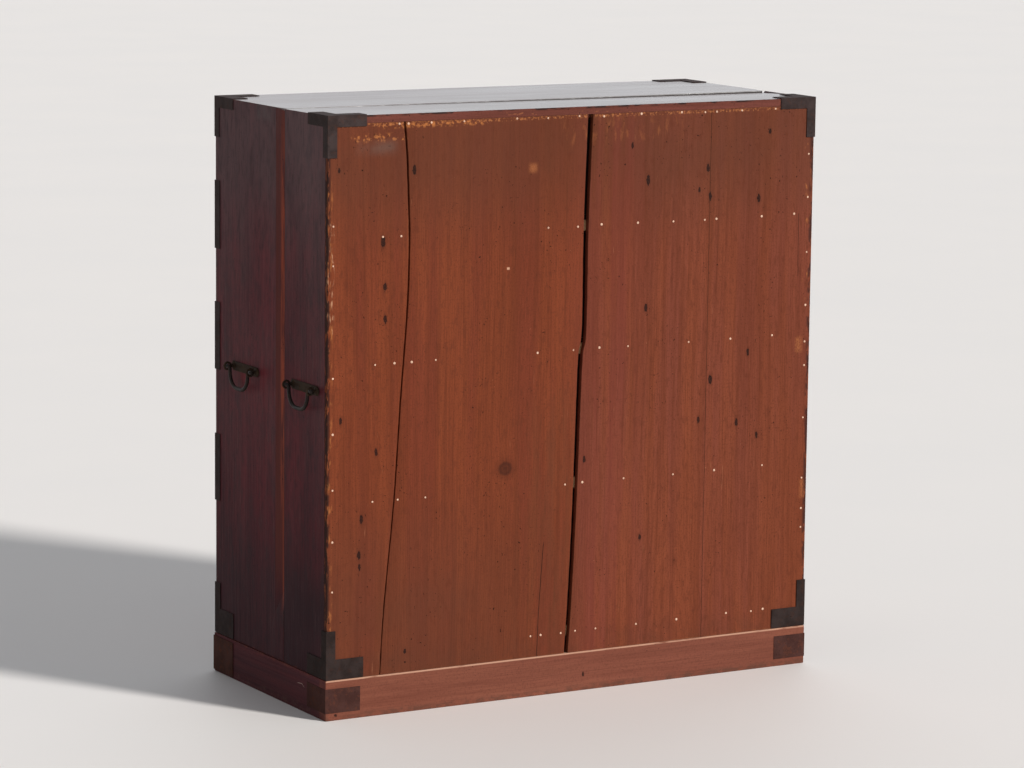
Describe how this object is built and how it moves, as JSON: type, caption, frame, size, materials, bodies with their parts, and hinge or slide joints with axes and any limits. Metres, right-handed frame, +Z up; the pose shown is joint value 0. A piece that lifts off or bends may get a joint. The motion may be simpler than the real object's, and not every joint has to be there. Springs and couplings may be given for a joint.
{
  "type": "tansu chest",
  "caption": "Upright wooden tansu chest of full-width drawers on a plinth, with board ends and back, iron corner plates and swinging bail handles.",
  "frame": {"origin": "middle of the chest's footprint, on the floor", "axes": "+Z up, -Y out of the drawer fronts, +Y out of the boarded back, +X to the right as seen from the front"},
  "size_m": [0.9856, 0.4428, 1.0015],
  "materials": {
    "end_lacquer": "worn dark red lacquer, satin",
    "top_lacquer": "worn dark red lacquer, satin",
    "front_lacquer": "dark red lacquer, satin",
    "back_cedar": "bare stained cedar, matt",
    "inner_wood": "bare softwood, matt",
    "iron": "forged, dark, worn"
  },
  "bodies": {
    "chest": {"top_front_board": "top_lacquer", "top_rear_board": "top_lacquer", "side_right_front_board": "end_lacquer", "side_right_rear_board": "end_lacquer", "side_left_front_board": "end_lacquer", "side_left_rear_board": "end_lacquer", "shelf_1": "inner_wood", "shelf_2": "inner_wood", "shelf_3": "inner_wood", "bottom_board": "inner_wood", "front_bottom_rail": "front_lacquer", "back_board_1": "back_cedar", "back_board_2": "back_cedar", "back_board_3": "back_cedar", "plinth_front_rail": "end_lacquer", "plinth_rear_rail": "back_cedar", "plinth_right_rail": "end_lacquer", "plinth_left_rail": "end_lacquer", "top_iron_right_front": "iron", "top_iron_right_rear": "iron", "top_iron_left_front": "iron", "top_iron_left_rear": "iron", "foot_iron_right_front": "iron", "foot_iron_right_rear": "iron", "foot_iron_left_front": "iron", "foot_iron_left_rear": "iron", "side_handle_plate_right_front": "iron", "side_handle_plate_right_rear": "iron", "side_handle_plate_left_front": "iron", "side_handle_plate_left_rear": "iron"},
    "side_bail_right_front": {"side_bail_right_front": "iron"},
    "side_bail_right_rear": {"side_bail_right_rear": "iron"},
    "side_bail_left_front": {"side_bail_left_front": "iron"},
    "side_bail_left_rear": {"side_bail_left_rear": "iron"},
    "drawer_1": {"drawer_1_front": "front_lacquer", "drawer_1_box": "inner_wood", "drawer_1_handle_plate_left": "iron", "drawer_1_handle_plate_right": "iron"},
    "drawer_1_bail_left": {"drawer_1_bail_left": "iron"},
    "drawer_1_bail_right": {"drawer_1_bail_right": "iron"},
    "drawer_2": {"drawer_2_front": "front_lacquer", "drawer_2_box": "inner_wood", "drawer_2_handle_plate_left": "iron", "drawer_2_handle_plate_right": "iron"},
    "drawer_2_bail_left": {"drawer_2_bail_left": "iron"},
    "drawer_2_bail_right": {"drawer_2_bail_right": "iron"},
    "drawer_3": {"drawer_3_front": "front_lacquer", "drawer_3_box": "inner_wood", "drawer_3_handle_plate_left": "iron", "drawer_3_handle_plate_right": "iron"},
    "drawer_3_bail_left": {"drawer_3_bail_left": "iron"},
    "drawer_3_bail_right": {"drawer_3_bail_right": "iron"},
    "drawer_4": {"drawer_4_front": "front_lacquer", "drawer_4_box": "inner_wood", "drawer_4_handle_plate_left": "iron", "drawer_4_handle_plate_right": "iron", "lock_case": "iron"},
    "drawer_4_bail_left": {"drawer_4_bail_left": "iron"},
    "drawer_4_bail_right": {"drawer_4_bail_right": "iron"},
    "lock_bolt": {"lock_bolt": "iron"}
  },
  "joints": [
    {"name": "side_bail_right_front_swing", "type": "hinge", "parent": "chest", "child": "side_bail_right_front", "pos_m": [0.485, -0.0836, 0.547], "axis": [0, -1, 0], "range_deg": [-10, 190]},
    {"name": "side_bail_right_rear_swing", "type": "hinge", "parent": "chest", "child": "side_bail_right_rear", "pos_m": [0.485, 0.1394, 0.547], "axis": [0, -1, 0], "range_deg": [-10, 190]},
    {"name": "side_bail_left_front_swing", "type": "hinge", "parent": "chest", "child": "side_bail_left_front", "pos_m": [-0.485, -0.0836, 0.547], "axis": [0, 1, 0], "range_deg": [-10, 190]},
    {"name": "side_bail_left_rear_swing", "type": "hinge", "parent": "chest", "child": "side_bail_left_rear", "pos_m": [-0.485, 0.1394, 0.547], "axis": [0, 1, 0], "range_deg": [-10, 190]},
    {"name": "drawer_1_slide", "type": "slide", "parent": "chest", "child": "drawer_1", "axis": [0, -1, 0], "range_m": [0, 0.32]},
    {"name": "drawer_1_bail_left_swing", "type": "hinge", "parent": "drawer_1", "child": "drawer_1_bail_left", "pos_m": [-0.235, -0.2136, 0.253], "axis": [-1, 0, 0], "range_deg": [-10, 190]},
    {"name": "drawer_1_bail_right_swing", "type": "hinge", "parent": "drawer_1", "child": "drawer_1_bail_right", "pos_m": [0.235, -0.2136, 0.253], "axis": [-1, 0, 0], "range_deg": [-10, 190]},
    {"name": "drawer_2_slide", "type": "slide", "parent": "chest", "child": "drawer_2", "axis": [0, -1, 0], "range_m": [0, 0.32]},
    {"name": "drawer_2_bail_left_swing", "type": "hinge", "parent": "drawer_2", "child": "drawer_2_bail_left", "pos_m": [-0.235, -0.2136, 0.4955], "axis": [-1, 0, 0], "range_deg": [-10, 190]},
    {"name": "drawer_2_bail_right_swing", "type": "hinge", "parent": "drawer_2", "child": "drawer_2_bail_right", "pos_m": [0.235, -0.2136, 0.4955], "axis": [-1, 0, 0], "range_deg": [-10, 190]},
    {"name": "drawer_3_slide", "type": "slide", "parent": "chest", "child": "drawer_3", "axis": [0, -1, 0], "range_m": [0, 0.32]},
    {"name": "drawer_3_bail_left_swing", "type": "hinge", "parent": "drawer_3", "child": "drawer_3_bail_left", "pos_m": [-0.235, -0.2136, 0.7145], "axis": [-1, 0, 0], "range_deg": [-10, 190]},
    {"name": "drawer_3_bail_right_swing", "type": "hinge", "parent": "drawer_3", "child": "drawer_3_bail_right", "pos_m": [0.235, -0.2136, 0.7145], "axis": [-1, 0, 0], "range_deg": [-10, 190]},
    {"name": "drawer_4_slide", "type": "slide", "parent": "chest", "child": "drawer_4", "axis": [0, -1, 0], "range_m": [0, 0.32]},
    {"name": "drawer_4_bail_left_swing", "type": "hinge", "parent": "drawer_4", "child": "drawer_4_bail_left", "pos_m": [-0.235, -0.2136, 0.914], "axis": [-1, 0, 0], "range_deg": [-10, 190]},
    {"name": "drawer_4_bail_right_swing", "type": "hinge", "parent": "drawer_4", "child": "drawer_4_bail_right", "pos_m": [0.235, -0.2136, 0.914], "axis": [-1, 0, 0], "range_deg": [-10, 190]},
    {"name": "lock_bolt_slide", "type": "slide", "parent": "drawer_4", "child": "lock_bolt", "axis": [0, 0, 1], "range_m": [0, 0.008]}
  ]
}
